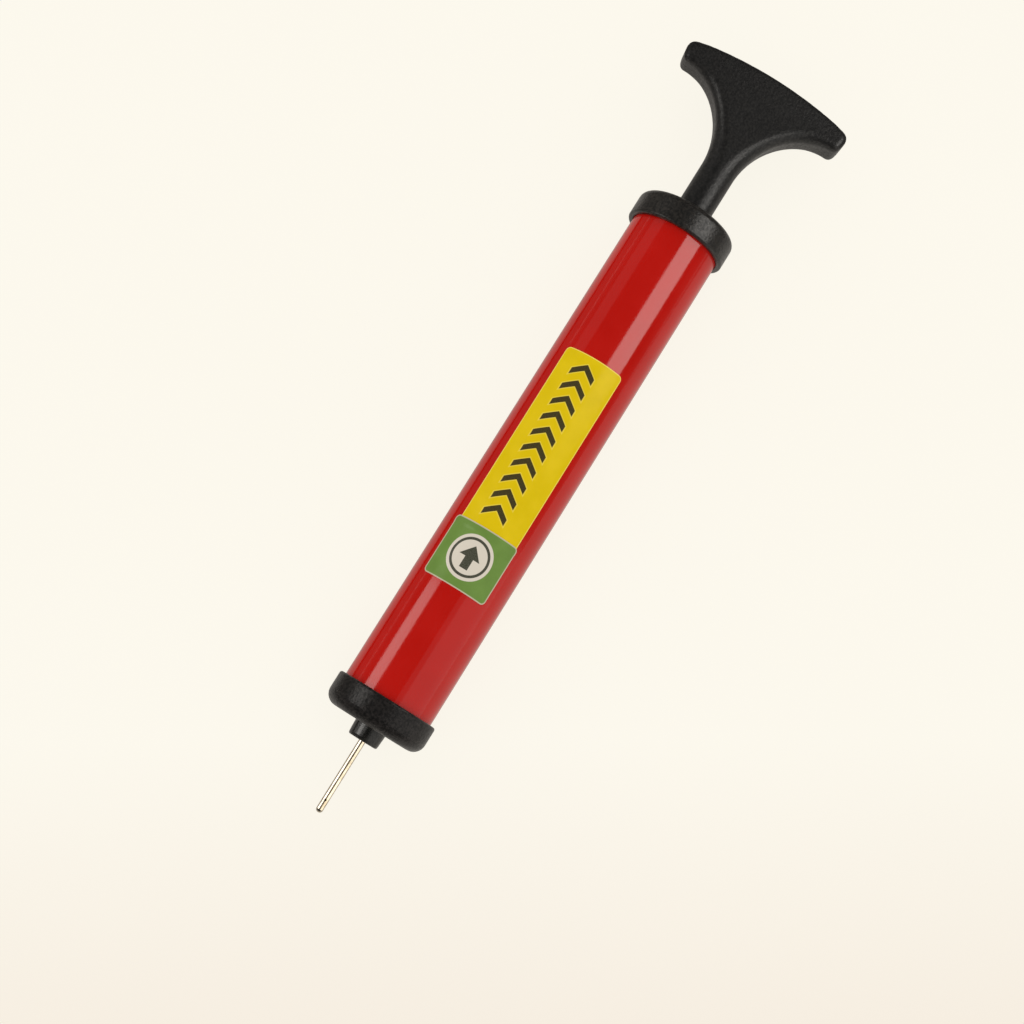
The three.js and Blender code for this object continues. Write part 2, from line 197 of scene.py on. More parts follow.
def round_corner(before, here, after, size):
    """The arc that replaces one corner of a profile."""
    before, here, after = (complex(*point) for point in (before, here, after))
    incoming = (before - here) / abs(before - here)
    outgoing = (after - here) / abs(after - here)
    opening = cmath.phase(outgoing / incoming)
    half = abs(opening) / 2
    if size <= 0 or half > STRAIGHT:
        return [(here.real, here.imag)]
    bisector = (incoming + outgoing) / abs(incoming + outgoing)
    centre = here + bisector * size / math.sin(half)
    first = here + incoming * size / math.tan(half) - centre
    turn = math.copysign(math.pi - 2 * half, -opening)
    steps = max(3, math.ceil(abs(turn) / ARC_STEP))
    arc = [centre + first * cmath.rect(1, turn * i / steps) for i in range(steps + 1)]
    return [(point.real, point.imag) for point in arc]


def round_profile(corners):
    """A closed profile with its corners rounded. A corner is (station, radius) or
    (station, radius, rounding). Corners on the axis stay sharp."""
    points = []
    for i, corner in enumerate(corners):
        size = corner[2] if len(corner) > 2 else EDGE
        if corner[1] == 0:
            size = 0
        after = corners[(i + 1) % len(corners)]
        points += round_corner(corners[i - 1][:2], corner[:2], after[:2], size)
    held = []
    for i, point in enumerate(points):
        held.append(point)
        start, end = np.array(point), np.array(points[(i + 1) % len(points)])
        length = np.linalg.norm(end - start)
        if length > 5 * HOLD and max(start[1], end[1]) > 0:
            step = (end - start) * HOLD / length
            held += [tuple(start + step), tuple(end - step)]
    return held


def turned(name, corners, sides=MEDIUM_SIDES):
    """A piece turned about the axis from the corners of its section. A section that touches
    the axis makes a solid piece, and any other section makes a ring."""
    angles = full_turn(sides)
    points, rings = [], []
    for station, radius in round_profile(corners):
        if abs(radius) < 1e-6:
            rings.append([len(points)] * sides)
            points.append((station, 0, 0))
            continue
        rings.append(list(range(len(points), len(points) + sides)))
        points += [(station, radius * math.sin(a), radius * math.cos(a)) for a in angles]
    faces = []
    for ring, following in zip(rings, rings[1:] + rings[:1]):
        for i in range(sides):
            j = (i + 1) % sides
            # Corners on the axis are one point, which makes a triangle, or no face at all
            face = dict.fromkeys((ring[i], ring[j], following[j], following[i]))
            if len(face) > 2:
                faces.append(tuple(face))
    return new_object(name, points, faces)


def build_turned(node, material, corners, sides=MEDIUM_SIDES):
    return stand_for(turned(node + "_fine", corners, sides), material)


def build_sleeve(node, material, bore, outer_edge, bore_edge, sides=MEDIUM_SIDES):
    """A plain tube or thick washer as large as its CAD node."""
    span = Span(node)
    return build_turned(node, material, [
        (span.foot, span.radius, outer_edge),
        (span.top, span.radius, outer_edge),
        (span.top, bore, bore_edge),
        (span.foot, bore, bore_edge),
    ], sides)


def build_o_ring(node, material, steps=28):
    ring = Span(node)
    cord = (ring.top - ring.foot) / 2
    corners = []
    for a in full_turn(steps):
        radius = ring.radius - cord + cord * math.cos(a)
        corners.append((ring.foot + cord + cord * math.sin(a), radius, 0))
    build_turned(node, material, corners)


def radial_slots(turns, inner, outer, width, low, high):
    """Cutters that reach outwards from the axis, one at each turn in degrees."""
    rounding = min(width, high - low, outer - inner) * 0.2
    faces = [(0, 1, 3, 2), (4, 6, 7, 5), (0, 4, 5, 1), (2, 3, 7, 6), (0, 2, 6, 4), (1, 5, 7, 3)]
    cutters = []
    for angle in map(math.radians, turns):
        along = Vector((0, math.sin(angle), math.cos(angle)))
        aside = Vector((0, math.cos(angle), -math.sin(angle)))
        points = []
        for station in (low, high):
            for reach in (inner, outer):
                for side in (-width / 2, width / 2):
                    points.append(Vector((station, 0, 0)) + along * reach + aside * side)
        cutters.append(new_object("cutter", points, faces, rounding))
    return cutters


def swept_coil(name, radius, wire, stations, angles, sides=14):
    """A round wire along a helix given by its stations and angles, with flat ends."""
    outward = np.stack([0 * angles, np.sin(angles), np.cos(angles)], axis=1)
    centres = np.outer(stations, (1, 0, 0)) + radius * outward
    tangents = np.gradient(centres, axis=0)
    tangents /= np.linalg.norm(tangents, axis=1)[:, None]
    binormal = np.cross(tangents, outward)
    points = []
    for centre, out, up in zip(centres, outward, binormal):
        for a in full_turn(sides):
            points.append(centre + wire * (math.cos(a) * out + math.sin(a) * up))
    return new_object(name, points, capped(len(centres), sides))


def surface_net(field, axes):
    """Points and quads of a field's zero surface, on a grid given by three rows of values."""
    grid = np.stack(np.meshgrid(*axes, indexing="ij"), axis=-1)
    values = field(grid.reshape(-1, 3)).reshape(grid.shape[:3])
    cells = tuple(n - 1 for n in values.shape)
    total = np.zeros(cells + (3,))
    count = np.zeros(cells)

    def part(array, axis, offsets, lengthwise):
        """The corners of every cell that lie at these offsets on the other two axes."""
        starts = np.insert(offsets, axis, lengthwise)
        return array[tuple(slice(s, s + n) for s, n in zip(starts, cells))]

    for axis in range(3):
        for offsets in ((0, 0), (0, 1), (1, 0), (1, 1)):
            near, far = (part(values, axis, offsets, k) for k in (0, 1))
            p, q = (part(grid, axis, offsets, k) for k in (0, 1))
            crossing = (near < 0) != (far < 0)
            share = np.where(crossing, near / np.where(crossing, near - far, 1), 0)
            total += np.where(crossing[..., None], p + (q - p) * share[..., None], 0)
            count += crossing
    used = count > 0
    number = np.full(cells, -1)
    number[used] = np.arange(used.sum())
    points = total[used] / count[used][:, None]

    faces = []
    for axis in range(3):
        around = [np.insert(back, axis, 0) for back in ((1, 1), (0, 1), (0, 0), (1, 0))]
        for spot in np.argwhere(np.diff(values < 0, axis=axis)):
            if np.delete(spot, axis).min() > 0:
                faces.append(tuple(int(number[tuple(spot - back)]) for back in around))
    return points, faces


def settle(field, points, rounds=3, step=0.02):
    """Moves points onto a field's zero surface along its gradient."""
    least = 0.2  # keeps a move short where the gradient fades
    for _ in range(rounds):
        value = field(points)
        slope = np.zeros_like(points)
        for axis in range(3):
            shift = np.zeros(3)
            shift[axis] = step
            slope[:, axis] = (field(points + shift) - field(points - shift)) / (2 * step)
        points = points - slope * (value / np.maximum((slope**2).sum(axis=1), least))[:, None]
    return points


# ---- Material helpers ----


def srgb(red, green, blue):
    """A colour written as it looks on screen, from 0 to 255, as the shader wants it."""
    def linear(value):
        value /= 255
        return value / 12.92 if value <= 0.04045 else ((value + 0.055) / 1.055) ** 2.4
    return (linear(red), linear(green), linear(blue), 1)


def scaled(colour, factor):
    return tuple(min(1, value * factor) for value in colour[:3]) + (1,)


class Nodes:
    """Short ways to make the nodes of a tree."""

    def __init__(self, tree):
        self.tree = tree

    def feed(self, socket, value):
        """Sets a socket to a value, or links it to another node's output."""
        if isinstance(value, bpy.types.NodeSocket):
            self.tree.links.new(value, socket)
        else:
            socket.default_value = value

    def node(self, kind, inputs=(), **settings):
        node = self.tree.nodes.new("ShaderNode" + kind)
        for key, value in settings.items():
            setattr(node, key, value)
        for key, value in dict(inputs).items():
            self.feed(node.inputs[key], value)
        return node

    def split(self, vector):
        return self.node("SeparateXYZ", {0: vector}).outputs


class Look(Nodes):
    """A material, with the patterns that feed its shader."""

    def __init__(self, name, **constants):
        self.material = bpy.data.materials.new(name)
        self.material.use_nodes = True
        super().__init__(self.material.node_tree)
        self.shader = self.tree.nodes["Principled BSDF"]
        for socket, value in constants.items():
            self.shader.inputs[socket.replace("_", " ")].default_value = value
        self.where = self.node("TexCoord").outputs["Object"]

    def math(self, operation, first, second=0.0, clamp=False):
        node = self.node("Math", {0: first, 1: second}, operation=operation, use_clamp=clamp)
        return node.outputs[0]

    def length(self, first, second):
        """The length of a vector with these two components."""
        squares = [self.math("MULTIPLY", value, value) for value in (first, second)]
        return self.math("SQRT", self.math("ADD", *squares))

    def texture(self, kind, size, stretch=(1, 1, 1), shift=0.0, **inputs):
        """The outputs of a texture whose features measure about size, longer along a
        stretched axis."""
        scale = [1 / (MM * size * s) for s in stretch]
        inputs["Scale"] = 1.0
        inputs["Vector"] = self.node("Mapping", {
            "Vector": self.where,
            "Location": (shift, shift, shift),
            "Scale": scale,
        }).outputs["Vector"]
        return self.node(kind, inputs).outputs

    def noise(self, size, detail=3.0, rough=0.5, **placing):
        """Smooth noise whose lumps measure about size."""
        return self.texture("TexNoise", size, Detail=detail, Roughness=rough, **placing)["Fac"]

    def cells(self, size):
        """Distance to the nearest of many scattered points about size apart."""
        return self.texture("TexVoronoi", size)["Distance"]

    def spread(self, value, low, high, start=0.3, end=0.7):
        """Stretches a value's start to end over low to high, and stops there."""
        limits = {"From Min": start, "From Max": end, "To Min": low, "To Max": high}
        return self.node("MapRange", {"Value": value, **limits}, clamp=True).outputs["Result"]

    def mix(self, share, first, second):
        colour_a, colour_b, result = 6, 7, 2  # the sockets that this node uses for colours
        inputs = {"Factor": share, colour_a: first, colour_b: second}
        return self.node("Mix", inputs, data_type="RGBA").outputs[result]

    def bump(self, height, depth, strength=1.0, over=None):
        """Relief whose full height is depth, on top of other relief."""
        inputs = {"Strength": strength, "Distance": depth * MM, "Height": height}
        if over is not None:
            inputs["Normal"] = over
        return self.node("Bump", inputs).outputs["Normal"]

    def finish(self, colour, roughness, normal):
        self.feed(self.shader.inputs["Base Color"], colour)
        self.feed(self.shader.inputs["Roughness"], roughness)
        self.feed(self.shader.inputs["Normal"], normal)
        return self.material


# ---- Materials ----


def red_gloss():
    """Polished red plastic tube: faint drawing lines along it and a few dull patches."""
    look = Look("red_gloss", IOR=1.5)
    red = srgb(179, 17, 8)
    lines = look.noise(0.35, detail=2, stretch=(300, 1, 1))
    waves = look.noise(9, detail=1, stretch=(5, 1, 1), shift=3)
    cloud = look.noise(14, detail=4)
    grain = look.noise(0.12, detail=1)
    colour = look.mix(look.spread(cloud, 0, 1), scaled(red, 0.95), scaled(red, 1.04))
    roughness = look.math("ADD", look.spread(cloud, 0.08, 0.12), look.spread(lines, 0, 0.02))
    normal = look.bump(waves, 0.02, 0.35)
    normal = look.bump(lines, 0.0006, 0.5, normal)
    normal = look.bump(grain, 0.0005, 0.5, normal)
    return look.finish(colour, roughness, normal)


def black_plastic(name, colour, roughness, grain_size=0.8, grain_depth=0.09, ior=1.5, seam=False):
    """Moulded black plastic with a spark-eroded texture and patches rubbed smoother. A seam is
    the fine line at axis height where the halves of its mould met."""
    look = Look(name, IOR=ior)
    cloud = look.noise(7, detail=4, rough=0.6)
    grain = look.noise(grain_size, detail=2, rough=0.6)
    pits = look.cells(grain_size * 1.2)
    tone_and_glints = look.mix(look.spread(cloud, 0, 1, 0.35, 0.75), colour, scaled(colour, 1.3))
    # Light flecks on the grain: partly the moulding's own grain, partly painted glints where its
    # tiny peaks catch light.
    tone_and_glints = look.mix(look.spread(grain, 0, 1, 0.4, 0.64), tone_and_glints, scaled(colour, 4.2))
    gloss = look.math("ADD", look.spread(cloud, roughness + 0.03, roughness - 0.03),
                      look.spread(grain, 0.08, -0.06))
    normal = look.bump(pits, grain_depth * 0.6, 0.7)
    normal = look.bump(grain, grain_depth, 1.0, normal)
    if seam:
        half_width, height = 0.09, 0.05
        above = look.math("SUBTRACT", look.split(look.where)["Z"], AXIS_Z)
        away = look.math("DIVIDE", look.math("ABSOLUTE", above), half_width * MM)
        normal = look.bump(look.math("SUBTRACT", 1.0, away, clamp=True), height, 1.0, normal)
    return look.finish(tone_and_glints, gloss, normal)


def rubber():
    """Dull black rubber with a bloom of paler dust."""
    look = Look("rubber", IOR=1.45)
    cloud = look.noise(2.5, detail=5, rough=0.6)
    grain = look.noise(0.08, detail=2)
    colour = look.mix(look.spread(cloud, 0, 1), srgb(22, 22, 21), srgb(40, 39, 37))
    roughness = look.spread(cloud, 0.6, 0.8)
    return look.finish(colour, roughness, look.bump(grain, 0.01, 0.7))


def nylon():
    """Natural nylon, slightly uneven in colour and gloss."""
    look = Look("nylon", IOR=1.53)
    cloud = look.noise(4, detail=4)
    grain = look.noise(0.15, detail=2)
    colour = look.mix(look.spread(cloud, 0, 1), srgb(222, 216, 200), srgb(236, 232, 220))
    roughness = look.spread(cloud, 0.35, 0.5)
    return look.finish(colour, roughness, look.bump(grain, 0.004, 0.6))


def metal(name, light, dark, roughness, line_size, stretch, line_depth, metallic=1.0):
    """Bright metal with fine working lines and faint tarnish."""
    look = Look(name, Metallic=metallic)
    lines = look.noise(line_size, detail=3, rough=0.6, stretch=stretch)
    cloud = look.noise(3, detail=4, rough=0.6)
    colour = look.mix(look.spread(cloud, 0, 1, 0.4, 0.75), light, dark)
    gloss = look.math("ADD", look.spread(lines, roughness, roughness + 0.06),
                      look.spread(cloud, 0, 0.05, 0.45, 0.75))
    return look.finish(colour, gloss, look.bump(lines, line_depth, 0.7))


def nickel():
    """Nickel plate, drawn lengthwise."""
    return metal("nickel", srgb(232, 222, 204), srgb(196, 182, 158), 0.13, 0.06,
                 (60, 1, 1), 0.0012)


def chrome():
    """The rod's chrome plate over ground steel: the grinding lines run round it."""
    return metal("chrome", srgb(226, 228, 230), srgb(204, 206, 208), 0.14, 0.05,
                 (1, 60, 60), 0.0006, metallic=0.8)


def steel():
    """Zinc-plated steel of the screw, washer and spring."""
    return metal("steel", srgb(205, 205, 200), srgb(165, 164, 158), 0.22, 0.09,
                 (1, 8, 8), 0.003, metallic=0.85)


BLUR = 0.05  # half width of a printed edge


class Print:
    """A printed pattern on a foil, drawn in the foil's own map: right and up from its centre."""

    def __init__(self, look, half_width, half_height):
        self.look = look
        position = look.node("UVMap", uv_map="foil").outputs["UV"]
        self.right, self.up, _ = look.split(position)
        self.half_width = half_width
        self.half_height = half_height

    def soft(self, distance):
        """1 inside a shape and 0 outside it, from the distance to its edge."""
        return self.look.spread(distance, 1.0, 0.0, -BLUR, BLUR)

    def within(self, value, limit):
        """1 where the value's size is under the limit."""
        size = self.look.math("ABSOLUTE", value)
        return self.soft(self.look.math("SUBTRACT", size, limit))

    def both(self, first, second):
        return self.look.math("MULTIPLY", first, second)

    def border(self, width):
        """1 in a border of this width along the foil's edge, round its corners too."""
        look = self.look
        corner = FOIL_CORNER
        distances = []
        for value, half in ((self.right, self.half_width), (self.up, self.half_height)):
            size = look.math("ABSOLUTE", value)
            distances.append(look.math("SUBTRACT", size, half - corner))
        outside = [look.math("MAXIMUM", d, 0.0) for d in distances]
        inner = look.math("MINIMUM", look.math("MAXIMUM", *distances), 0.0)
        distance = look.math("SUBTRACT", look.math("ADD", look.length(*outside), inner), corner)
        return look.spread(distance, 0.0, 1.0, -width - BLUR, -width + BLUR)


def printed_foil(name, paint, half_width, half_height):
    """Glossy printed foil. paint is a function that colours its print."""
    look = Look(name, IOR=1.45, Specular_IOR_Level=0.16)
    pattern = Print(look, half_width, half_height)
    cloud = look.noise(6, detail=4)
    fibre = look.noise(0.5, detail=3)
    colour = paint(look, pattern, cloud, look.noise(0.16, detail=1))
    roughness = look.spread(cloud, 0.18, 0.26)
    normal = look.bump(fibre, 0.008, 0.35)
    return look.finish(colour, roughness, normal)


def paint_panel(look, pattern, cloud, ink):
    """Yellow with a row of dark chevrons that point at the handle."""
    yellow, pale, dark = srgb(216, 186, 1), srgb(236, 212, 96), srgb(50, 45, 32)
    count, pitch, stroke, slope = 10, 5.95, 2.3, 0.75
    half_band, shift = 4.25, 1.2
    row_middle = slope * half_band / 2 + FOIL_TUCK / 2
    base = look.mix(look.spread(cloud, 0, 1), scaled(yellow, 0.97), scaled(yellow, 1.04))
    across = look.math("ADD", pattern.right, shift)
    away = look.math("MULTIPLY", look.math("ABSOLUTE", across), slope)
    climb = look.math("SUBTRACT", look.math("ADD", pattern.up, away), row_middle)
    phase = look.math("ADD", look.math("DIVIDE", climb, pitch), count / 2)
    centred = look.math("SUBTRACT", look.math("FRACT", phase), 0.5)
    distance = look.math("MULTIPLY", look.math("ABSOLUTE", centred), pitch)
    row = pattern.within(climb, count * pitch / 2)
    for width, colour, strength in ((0.4, pale, 0.45), (0.0, dark, 1.0)):
        stripe = pattern.soft(look.math("SUBTRACT", distance, stroke / 2 + width))
        band = pattern.within(across, half_band + width)
        shape = pattern.both(stripe, pattern.both(band, row))
        worn = look.spread(ink, 0.93 * strength, strength)
        base = look.mix(pattern.both(shape, worn), base, colour)
    return look.mix(pattern.border(0.28), base, pale)


def paint_badge(look, pattern, cloud, ink):
    """Green with an off-white disc, which carries a plain arrow in a ring."""
    green, pale, disc = srgb(106, 137, 64), srgb(186, 178, 152), srgb(212, 203, 188)
    dark = srgb(48, 52, 38)
    radius, ring_inset, ring_half, shift = 7.7, 1.5, 0.45, -0.2
    base = look.mix(look.spread(cloud, 0, 1), scaled(green, 0.92), scaled(green, 1.06))
    right = look.math("SUBTRACT", pattern.right, shift)
    reach = look.length(right, pattern.up)
    inside = pattern.soft(look.math("SUBTRACT", reach, radius))
    base = look.mix(inside, base, disc)
    line = pattern.within(look.math("SUBTRACT", reach, radius - ring_inset), ring_half)
    head_foot, head_top, head_half = -0.2, 4.1, 3.7
    climb = look.math("SUBTRACT", pattern.up, head_foot)
    slope = head_half / (head_top - head_foot)
    edge = look.math("SUBTRACT", head_half, look.math("MULTIPLY", climb, slope))
    side = look.math("SUBTRACT", look.math("ABSOLUTE", right), edge)
    head = pattern.both(pattern.soft(side), look.spread(climb, 0.0, 1.0, -BLUR, BLUR))
    stem_half, stem_middle, stem_reach = 1.45, -1.9, 2.2
    stem = pattern.both(pattern.within(right, stem_half),
                        pattern.within(look.math("SUBTRACT", pattern.up, stem_middle), stem_reach))
    shape = look.math("MAXIMUM", look.math("MAXIMUM", line, head), stem)
    base = look.mix(pattern.both(shape, look.spread(ink, 0.88, 1.0)), base, dark)
    return look.mix(pattern.border(0.4), base, pale)


# ---- Barrel, caps and nozzle ----

NOZZLE_ROOT = 5.68
SOCKET = 4.13


def build_bottom_cap(material):
    cap = Span("bottom_cap")
    nozzle_gap, plate, shoulder = 0.3, 2.0, 4.3
    hole, floor = NOZZLE_ROOT + nozzle_gap, cap.foot + plate
    build_turned("bottom_cap", material, [
        (cap.foot, hole, 0.35),
        (cap.foot, cap.radius, shoulder),
        (cap.top, cap.radius, CAP_RIM),
        (cap.top, SKIRT, 0.25),
        (floor, SKIRT, 0.3),
        (floor, hole),
    ], LARGE_SIDES)


def build_top_cap(material):
    """The cap with its recess for the handle's neck and the boss that holds the bush."""
    cap, bush = Span("top_cap"), Span("guide_bush")
    rim, plate, recess_floor = cap.top - 9.6, cap.top - 2.3, cap.top - 0.5
    recess, rod_hole, boss, lip, shoulder = 6.45, 4.55, 8.7, 5.85, 2.4
    boss_foot, lip_top = bush.foot + 3.6, bush.foot + 4.8
    seat = bush.radius + 0.25
    build_turned("top_cap", material, [
        (rim, cap.radius, CAP_RIM),
        (cap.top, cap.radius, shoulder),
        (cap.top, recess, 0.2),
        (recess_floor, recess, 0.1),
        (recess_floor, rod_hole, 0.2),
        (plate, rod_hole),
        (plate, seat),
        (lip_top, seat, 0.1),
        (lip_top, lip, 0.1),
        (boss_foot, lip),
        (boss_foot, boss, 0.3),
        (plate, boss, 0.5),
        (plate, SKIRT, 0.3),
        (rim, SKIRT, 0.25),
    ], LARGE_SIDES)


def build_nozzle_plug(material):
    """Nozzle, flange and plug in one moulding, open along the axis for needle and valve."""
    plug = Span("nozzle_plug")
    end, root, root_station = 5.33, NOZZLE_ROOT, 7.3
    body, flange_top = 14.44, 8.8
    groove, groove_low, groove_high = 11.75, 13.6, 16.6
    recess_inner, recess_outer, recess_top = 7.2, 10.8, 12.0
    gasket_bore, gasket_top, thread_top = 4.28, 10.8, 9.1
    passage, chamber, chamber_top, seat_bore = 1.3, 3.98, 18.6, 5.28
    return build_turned("nozzle_plug", material, [
        (0, SOCKET, 0.2),
        (0, end - 0.45, 0.15),
        (0.3, end - 0.12, 0.15),
        (1.1, end, 0.3),
        (root_station, root, 0.05),
        (root_station, recess_inner, 0.3),
        (recess_top, recess_inner, 0.4),
        (recess_top, recess_outer, 0.4),
        (root_station, recess_outer, 0.3),
        (root_station, plug.radius, 0.2),
        (flange_top, plug.radius, 0.2),
        (flange_top, body, 0.2),
        (groove_low, body, 0.2),
        (groove_low, groove, 0.3),
        (groove_high, groove, 0.3),
        (groove_high, body, 0.2),
        (plug.top, body, 0.7),
        (plug.top, seat_bore, 0.3),
        (chamber_top, seat_bore),
        (chamber_top, chamber),
        (CHAMBER_FLOOR, chamber, 0.4),
        (CHAMBER_FLOOR, passage, 0.2),
        (gasket_top, passage, 0.2),
        (gasket_top, gasket_bore, 0.1),
        (thread_top, gasket_bore, 0.04),
        (thread_top, SOCKET, 0.04),
    ])


# ---- Outlet valve ----


def build_valve_seat(material):
    seat = Span("valve_seat")
    hole, lip, lip_height = 1.6, 2.4, 0.4
    build_turned("valve_seat", material, [
        (seat.foot, hole, 0.08),
        (seat.foot, lip, 0.15),
        (seat.foot + lip_height, lip, 0.1),
        (seat.foot + lip_height, seat.radius, 0.25),
        (seat.top, seat.radius, 0.25),
        (seat.top, hole, 0.4),
    ], SMALL_SIDES)


def build_valve_poppet(material):
    poppet = Span("valve_poppet")
    stem, disc_foot = 1.58, poppet.top - POPPET_DISC
    build_turned("valve_poppet", material, [
        (poppet.foot, 0),
        (poppet.foot, stem, 0.35),
        (disc_foot, stem, 0.2),
        (disc_foot, poppet.radius, 0.25),
        (poppet.top, poppet.radius, 0.15),
        (poppet.top, 0),
    ], SMALL_SIDES)


def build_valve_pad(material):
    """The pad, which fills the gap that the CAD model leaves under it."""
    pad = Span("valve_pad")
    foot = pad.foot - 0.28
    build_turned("valve_pad", material, [
        (foot, 0),
        (foot, pad.radius, 0.1),
        (pad.top, pad.radius, 0.2),
        (pad.top, 0),
    ], SMALL_SIDES)


def build_valve_spring(material):
    """A coil with closed ends."""
    disc_foot = Span("valve_poppet").top - POPPET_DISC
    wire, radius, gap = 0.21, 2.38, 0.02
    turns, dead_turn, steps = 4.5, 0.75, 220
    low, high = CHAMBER_FLOOR + wire + gap, disc_foot - wire - gap
    turn = np.linspace(0, turns, steps)
    climb = np.clip((turn - dead_turn) / (turns - 2 * dead_turn), 0, 1)
    closed = 2.1 * wire
    rise = closed * np.clip(turn / dead_turn, 0, 1) * 0.5
    rise += closed * np.clip((turn - turns + dead_turn) / dead_turn, 0, 1) * 0.5
    stations = low + rise + climb * (high - low - closed)
    piece = swept_coil("valve_spring_fine", radius, wire, stations, turn * 2 * math.pi)
    stand_for(piece, material)
    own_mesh(piece)


# ---- Needle ----


def thread_depth(station, angle, low, high):
    """How far a thread's surface lies below its crest, with run-outs at both ends."""
    depth, crest = 0.42, 0.12
    phase = (station / THREAD_PITCH - angle / (2 * math.pi)) % 1
    wave = np.clip((np.abs(phase - 0.5) * 2 - crest) / (1 - 2 * crest), 0, 1)
    fade = np.clip(np.minimum(station - low, high - station) / (0.6 * THREAD_PITCH), 0, 1)
    return depth * (1 - wave) * fade


def build_needle_base(material):
    """The threaded base: a bored cylinder whose outside is a true screw thread."""
    base, tube = Span("needle_base"), Span("needle_tube")
    bore, lead, chamfer = tube.radius + 0.02, 0.5, 0.1
    sides, step = 72, THREAD_PITCH / 10
    stations = np.arange(base.foot + lead, base.top - lead + step / 2, step)
    angles = full_turn(sides)
    rows = [(base.foot, bore + chamfer), (base.foot, base.radius - lead)]
    rows += [(station, None) for station in stations]
    rows += [(base.top, base.radius - lead), (base.top, bore + chamfer)]
    rows += [(base.top - chamfer, bore), (base.foot + chamfer, bore)]
    points = []
    for station, radius in rows:
        for angle in angles:
            r = radius
            if r is None:
                r = base.radius - thread_depth(station, angle, stations[0], stations[-1])
            points.append((station, r * math.sin(angle), r * math.cos(angle)))
    piece = new_object("needle_base_fine", points, ring_faces(len(rows), sides, closed=True))
    return stand_for(piece, material)


def build_needle_tube(material):
    """Thin tube with a closed round tip and an outlet in its side."""
    tube = Span("needle_tube")
    bore, tip_wall = 0.7, 2.0
    outlet_station, outlet_radius = tube.foot + 4.5, 0.42
    piece = turned("needle_tube_fine", [
        (tube.foot, 0),
        (tube.foot, tube.radius, tube.radius * 0.92),
        (tube.top, tube.radius, 0.1),
        (tube.top, bore, 0.05),
        (tube.foot + tip_wall, bore, 0.3),
        (tube.foot + tip_wall, 0),
    ], SMALL_SIDES)
    sides, reach = 40, 2.0
    points = []
    for height in (0.3, reach):
        for a in full_turn(sides):
            along, aside = outlet_radius * math.cos(a), outlet_radius * math.sin(a)
            points.append((outlet_station + along, aside, height))
    carve(piece, [new_object("cutter", points, capped(2, sides))])
    return stand_for(piece, material)


# ---- Rod guide ----


def build_guide_bush(material):
    bush = Span("guide_bush")
    bore, nose, shoulder = 4.12, 5.55, bush.foot + 5.1
    piece = turned("guide_bush_fine", [
        (bush.foot, bore, 0.2),
        (bush.foot, nose, 0.25),
        (shoulder, nose, 0.1),
        (shoulder, bush.radius, 0.2),
        (bush.top, bush.radius, 0.25),
        (bush.top, bore, 0.3),
    ])
    depth, width, past = 0.75, 1.2, 1
    slots = radial_slots((0, 120, 240), bore - past, bore + depth, width,
                         bush.foot - past, bush.top + past)
    stand_for(carve(piece, slots), material)


# ---- Plunger ----


def build_rod_end_plug(material):
    plug = Span("rod_end_plug")
    screw_bore, bore_top = 2.0, plug.top - 2.5
    build_turned("rod_end_plug", material, [
        (plug.foot, screw_bore, 0.2),
        (plug.foot, plug.radius, 0.2),
        (plug.top, plug.radius, 0.6),
        (plug.top, 0),
        (bore_top, 0),
        (bore_top, screw_bore, 0.3),
    ], SMALL_SIDES)


def build_piston_head(material):
    """The piston: a grooved disc with a hub for the rod and notches in its lower flange."""
    head = Span("piston_head")
    screw_bore, groove, socket_foot = 2.0, 11.15, ROD.foot - 0.25
    groove_low, groove_high = head.foot + 2.5, head.foot + 7.6
    shoulder, hub = head.foot + 10.1, 7.17
    piece = turned("piston_head_fine", [
        (head.foot, screw_bore, 0.2),
        (head.foot, head.radius, 0.6),
        (groove_low, head.radius, 0.2),
        (groove_low, groove, 0.3),
        (groove_high, groove, 0.3),
        (groove_high, head.radius, 0.2),
        (shoulder, head.radius, 0.6),
        (shoulder, hub, 0.8),
        (head.top, hub, 0.6),
        (head.top, ROD_SOCKET, 0.3),
        (socket_foot, ROD_SOCKET, 0.1),
        (socket_foot, screw_bore),
    ])
    notch_floor, width, past = 11.75, 4, 1
    notches = radial_slots((0, 90, 180, 270), notch_floor, head.radius + past, width,
                           head.foot - past, groove_low + 0.5)
    stand_for(carve(piece, notches), material)


def build_piston_washer(material):
    washer = Span("piston_washer")
    build_turned("piston_washer", material, [
        (washer.foot, 2.0, 0.12),
        (washer.foot, washer.radius, 0.25),
        (washer.top, washer.radius, 0.12),
        (washer.top, 2.0, 0.12),
    ], SMALL_SIDES)


def build_piston_screw(material):
    """Pan-head screw with a cross recess."""
    screw = Span("piston_screw")
    seat, shank = screw.foot + 2.1, 1.66
    piece = turned("piston_screw_fine", [
        (screw.foot, 0),
        (screw.foot, 2.3, 1.2),
        (screw.foot + 0.9, screw.radius, 0.7),
        (seat, screw.radius, 0.15),
        (seat, shank, 0.2),
        (screw.top - 0.9, shank, 0.2),
        (screw.top, 0.85, 0.2),
        (screw.top, 0),
    ], SMALL_SIDES)
    reach, width, depth = 1.7, 0.8, 1.2
    cross = radial_slots((0, 90), -reach, reach, width, screw.foot - depth, screw.foot + depth)
    stand_for(carve(piece, cross), material)


# ---- Handle ----

NECK_RADIUS = 6.08
ARM_MIDDLE, ARM_REACH = (28.7, 223.0), (22.6, 26.7)
END_LOW, END_HIGH = (30.6, 249.9), (32.0, 257.5)
END_LOW_REACH, END_HIGH_REACH = 2.6, 4.2
CROWN_RADIUS, CROWN_END = 143.0, 27.5


def quadratic(start, control, end, steps=10):
    """A smooth corner from start to end, pulled towards control."""
    start, control, end = (np.array(p, float) for p in (start, control, end))
    shares = np.linspace(0, 1, steps + 1)[:, None]
    return start * (1 - shares) ** 2 + control * 2 * shares * (1 - shares) + end * shares**2


